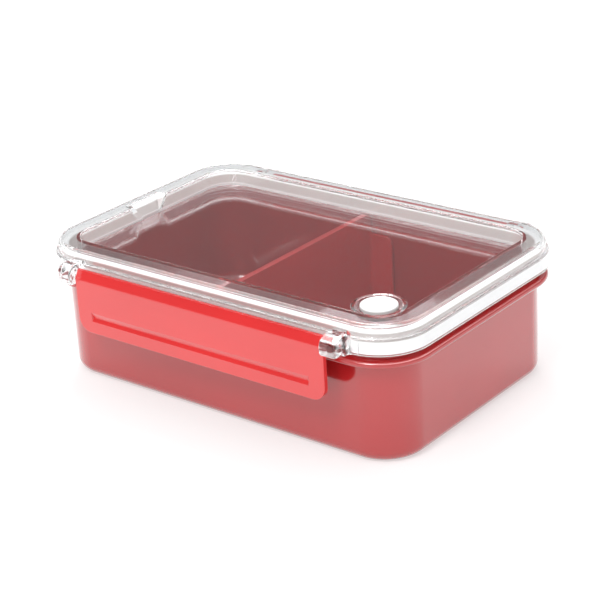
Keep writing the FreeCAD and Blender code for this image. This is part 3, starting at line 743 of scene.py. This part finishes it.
def wedge(name, near_x, far_x, near_low, far_low, near_widths, far_widths, top):
    """Block between two upright trapezia, each with a width at its foot and at its top."""
    piece = block(name, (far_x, -PAST, far_low), (near_x, PAST, top))
    low_near, high_near = near_widths
    low_far, high_far = far_widths
    with editing(piece):
        shape = bmesh.from_edit_mesh(piece.data)
        for v in shape.verts:
            is_near = near(v.co.x, near_x)
            is_low = near(v.co.z, far_low)
            if is_near:
                width = low_near if is_low else high_near
            else:
                width = low_far if is_low else high_far
            v.co.y = math.copysign(width / 2, v.co.y)
            if is_near and is_low:
                v.co.z = near_low
        bmesh.update_edit_mesh(piece.data)
        bpy.ops.mesh.select_all(action="SELECT")
        bpy.ops.mesh.quads_convert_to_tris()
    return piece


def add_scoop(lid, ring):
    """Sloped finger scoop in the ring's inner wall, at the middle of the far short side."""
    low, high, back = SCOOP_WIDTHS
    top = lid_high.z
    mouth = -(ring.half_x - RING_BAND)
    wall = 2 * SCOOP_WALL
    backing = wedge("scoop_wall", mouth - SINK, mouth - SCOOP_DEPTH - SCOOP_WALL, PANEL_LOW + SINK,
                    top - LID_WALL - SINK, (low + wall, high + wall), (back + wall, back + wall),
                    top - SINK)
    join(lid, backing)
    past = 2 * PAST
    hollow = wedge("scoop", mouth + SINK, mouth - SCOOP_DEPTH, PANEL_TOP, top - SINK,
                   (low, high + past), (back, back), top + past)
    carve(lid, hollow)


def add_cup(lid):
    """Flared cup round the valve, and the hole for its stem."""
    middle = (valve_low + valve_high) / 2
    sunk = (PANEL_TOP - PANEL_LOW) / 2
    cup = stack("valve_cup", middle, [
        (CUP_BASE, PANEL_TOP - sunk),
        (CUP_BASE, PANEL_TOP),
        (CUP_TOP_RADIUS, CUP_TOP),
        (CUP_TOP_RADIUS - CUP_WALL, CUP_TOP),
        (CUP_BASE - CUP_WALL, PANEL_TOP),
    ])
    with editing(cup):
        round_off(FINE_EDGE, ring_edge(middle, CUP_TOP_RADIUS, CUP_TOP))
        round_off(FINE_EDGE, ring_edge(middle, CUP_TOP_RADIUS - CUP_WALL, CUP_TOP))
    join(lid, cup)
    carve(lid, stack("stem_hole", middle, [
        (STEM_HOLE, PANEL_LOW - PAST),
        (STEM_HOLE, PANEL_TOP + PAST),
    ]))


def add_posts(lid):
    """Four hinge posts, each with a hollow flare into the skirt and a blind bore for a latch pin."""
    inner = LATCH_HALF + POST_AIR
    outer = inner + POST_LENGTH
    front = lid_low.y
    root = -SKIRT_HALF_WIDTH + SKIRT_STEP + SINK
    # Just clear of the skirt's lower edge, so that no two faces lie in one plane
    foot = SKIRT_LOW + FINE_EDGE
    crown = HINGE_Z + POST_RISE
    post = block("post", (inner, front, foot), (outer, root, crown))

    def side_edge(side):
        return lambda e: is_sharp(e) and all(near(v.co.x, side) for v in e.verts) \
            and not all(near(v.co.y, root) for v in e.verts)

    with editing(post):
        round_off(POST_CROWN, along_x(front, crown), WIDE_STEPS)
        round_off(POST_FOOT, along_x(front, foot))
        round_off(POST_INNER_EDGE, side_edge(inner))
        round_off(POST_OUTER_EDGE, side_edge(outer), MIDDLE_STEPS)
    flare_front = -SKIRT_HALF_WIDTH - POST_FLARE
    flare = block("flare", (outer - POST_LENGTH / 2, flare_front, SKIRT_LOW + 2 * FINE_EDGE),
                  (outer + POST_FLARE, root, LEDGE - LEDGE_EDGE))

    def flare_edge(e):
        return upright(e) and all(near(v.co.x, outer + POST_FLARE) and v.co.y < -SKIRT_HALF_WIDTH
                                  for v in e.verts)

    with editing(flare):
        round_off(POST_FLARE - TINY, flare_edge, WIDE_STEPS, profile=FLARE_PROFILE)
    join(post, flare)
    carve(post, rod("bore", BORE_RADIUS, BORE_DEPTH, (inner, -HINGE_Y, HINGE_Z)))
    apply_modifier(post, "MIRROR", use_axis=(True, True, False))
    join(lid, post)


def model_seal():
    leg = Outline(seal_high.x, seal_high.y, SEAL_CORNER)
    seal = leg.slab("rim_seal", seal_low.z, SEAL_LEG_TOP)
    with editing(seal):
        pick("FACE", faces_at(SEAL_LEG_TOP, 1))
        inset(SEAL_STEP)
        extrude(z=seal_high.z - SEAL_LEG_TOP)
        inset(SEAL_CROWN)
        inset(SEAL_SLOPE, -SEAL_SLOPE)
        extrude(z=SEAL_INNER_LOW - seal_high.z + SEAL_SLOPE)
        bpy.ops.mesh.delete(type="ONLY_FACE")
        pick("FACE", faces_at(seal_low.z, -1))
        inset(SEAL_LEG)
        extrude(z=SEAL_SLOT_TOP - seal_low.z)
        inset(SEAL_SLOT)
        extrude(z=SEAL_INNER_LOW - SEAL_SLOT_TOP)
        inset(SEAL_STEP + SEAL_CROWN + SEAL_SLOPE - SEAL_LEG - SEAL_SLOT)
        bpy.ops.mesh.delete(type="ONLY_FACE")
        bpy.ops.mesh.select_all(action="SELECT")
        bpy.ops.mesh.remove_doubles(threshold=TINY)
        bpy.ops.mesh.normals_make_consistent(inside=False)
    apply_modifier(seal, "BEVEL", width=FINE_EDGE, segments=SEAL_STEPS, limit_method="ANGLE",
                   angle_limit=SEAL_ANGLE)
    finish_piece(seal, SEAL_WHITE, "gasket", "lid")


def cut_groove(face):
    """Shallow finger groove along the latch's face, with a short upper slope and a long lower one."""
    for side in (-GROOVE_HALF, GROOVE_HALF):
        cut_across(X, side)
    for height in (GROOVE_LOW, GROOVE_KEEL, GROOVE_HIGH):
        cut_across(Z, height)

    def in_groove(f):
        middle = f.calc_center_median()
        return near(middle.y, face) and abs(middle.x) < GROOVE_HALF \
            and GROOVE_LOW < middle.z < GROOVE_HIGH

    pick("FACE", in_groove)
    inset(GROOVE_END)
    inside = GROOVE_HALF - GROOVE_END / 2
    pick("EDGE", lambda e: all(near(v.co.z, GROOVE_KEEL) and near(v.co.y, face)
                               and abs(v.co.x) < inside for v in e.verts))
    bpy.ops.transform.translate(value=(0, GROOVE_DEPTH, 0))


def model_latches():
    face = latch_low.y
    back = face + PLATE_THICK
    low, top = latch_low.z, latch_high.z
    crease = top - LATCH_BEVEL_FALL
    latch = block("near_latch", (-LATCH_HALF, face, low), (LATCH_HALF, back, crease))
    with editing(latch):
        round_off(PLATE_CORNER, through_plate(X, LATCH_HALF, low), WIDE_STEPS)
        # Sloped top, drawn up from the plate and back over the hinge
        pick("FACE", faces_at(crease, 1))
        extrude(z=LATCH_BEVEL_FALL)
        pick("EDGE", along_x(face, top))
        bpy.ops.transform.translate(value=(0, LATCH_BEVEL_RUN, 0))
        pick("EDGE", along_x(back, top))
        bpy.ops.transform.translate(value=(0, -HINGE_Y - back, 0))
        round_off(LATCH_EDGE, lambda e: is_sharp(e) and all(near(v.co.y, face) for v in e.verts))
        cut_groove(face)
    hinge = (0, -HINGE_Y, HINGE_Z)
    join(latch, rod("barrel", BARREL_RADIUS, LATCH_HALF - TINY, hinge))
    hook_top = FLANGE_TOP - FLANGE_THICK - HOOK_AIR
    hook = block("hook", (-HOOK_HALF, back - PLATE_THICK / 2, hook_top - HOOK_ROOT),
                 (HOOK_HALF, latch_high.y, hook_top))
    with editing(hook):
        pick("EDGE", lambda e: all(near(v.co.y, latch_high.y) and v.co.z < hook_top - TINY
                                   for v in e.verts))
        bpy.ops.transform.translate(value=(0, 0, HOOK_ROOT - HOOK_TIP))
        round_off(LATCH_EDGE, lambda e: all(near(v.co.y, latch_high.y) for v in e.verts))
    join(latch, hook)
    join(latch, rod("pins", PIN_RADIUS, latch_high.x, hinge))
    far_latch = turned_copy(latch, "far_latch")
    finish_piece(latch, LATCH_RED, "front_latch", "front_latch")
    finish_piece(far_latch, LATCH_RED, "back_latch", "back_latch")


def model_valve():
    middle = (valve_low + valve_high) / 2
    button_low = valve_high.z - BUTTON_THICK
    seat = PANEL_TOP + SEAT_AIR
    valve = stack("air_valve", middle, [
        (BULB_TIP, valve_low.z),
        (BULB_RADIUS, valve_low.z + (BULB_TOP - valve_low.z) * BULB_WIDEST),
        (BULB_RADIUS, BULB_TOP),
        (STEM_RADIUS, BULB_TOP),
        (STEM_RADIUS, seat),
        (SEAT_RADIUS, seat),
        (SEAT_RADIUS, button_low),
        (BUTTON_RADIUS, button_low),
        (BUTTON_RADIUS, valve_high.z),
    ])
    with editing(valve):
        for height in (button_low, valve_high.z):
            round_off(BUTTON_EDGE, ring_edge(middle, BUTTON_RADIUS, height))
    finish_piece(valve, VALVE_WHITE, "valve_plug", "valve")


def model_divider():
    low, high = divider_low, divider_high
    middle = (low.x + high.x) / 2
    half = DIVIDER_THICK / 2
    inner = high.y - WING_THICK
    plate = block("partition", (middle - half, low.y, low.z), (middle + half, high.y, high.z))

    def wing_root(f):
        place = f.calc_center_median()
        return abs(f.normal.x) > ALONG and abs(place.y) > inner and WING_LOW < place.z < WING_TOP

    def wing_corner(e):
        return near(e.verts[0].co.x, e.verts[1].co.x) \
            and all(near(v.co.z, WING_TOP) and abs(v.co.x - middle) > half + WING_CORNER
                    for v in e.verts)

    def root_line(e):
        return upright(e) and WING_LOW < (e.verts[0].co.z + e.verts[1].co.z) / 2 < WING_TOP \
            and all(near(abs(v.co.x - middle), half) and near(abs(v.co.y), inner) for v in e.verts)

    def outer_edge(e):
        return is_sharp(e) and (all(v.co.z > high.z - DIVIDER_CORNER - TINY for v in e.verts)
                                or any(abs(v.co.x - middle) > half + 2 * WING_ROOT for v in e.verts))

    with editing(plate):
        round_off(DIVIDER_CORNER, through_plate(Y, high.y, high.z), MIDDLE_STEPS)
        round_off(FLOOR_ROUND, through_plate(Y, high.y, low.z), MIDDLE_STEPS)
        for side in (-inner, inner):
            cut_across(Y, side)
        for height in (WING_LOW, WING_TOP):
            cut_across(Z, height)
        for way, reach in ((-1, low.x - middle + half), (1, high.x - middle - half)):
            pick("FACE", lambda f: wing_root(f) and f.normal.x * way > 0)
            extrude(x=reach)
        round_off(WING_CORNER, wing_corner, MIDDLE_STEPS)
        round_off(WING_ROOT, root_line)
        round_off(DIVIDER_EDGE, outer_edge)
    finish_piece(plate, LIT_DIVIDER_RED, "divider", "divider")


model_box()
model_lid()
model_seal()
model_latches()
model_valve()
model_divider()

add_camera()
add_floor()
add_world()
add_lamp("overhead", place=(-0.38, 0.40, 0.95), size=0.35, power=3.0)
add_lamp("front_fill", place=(0.1, -0.9, 1.2), size=0.4, power=6.6)
bpy.context.scene.view_settings.view_transform = "Standard"

bpy.context.view_layer.update()
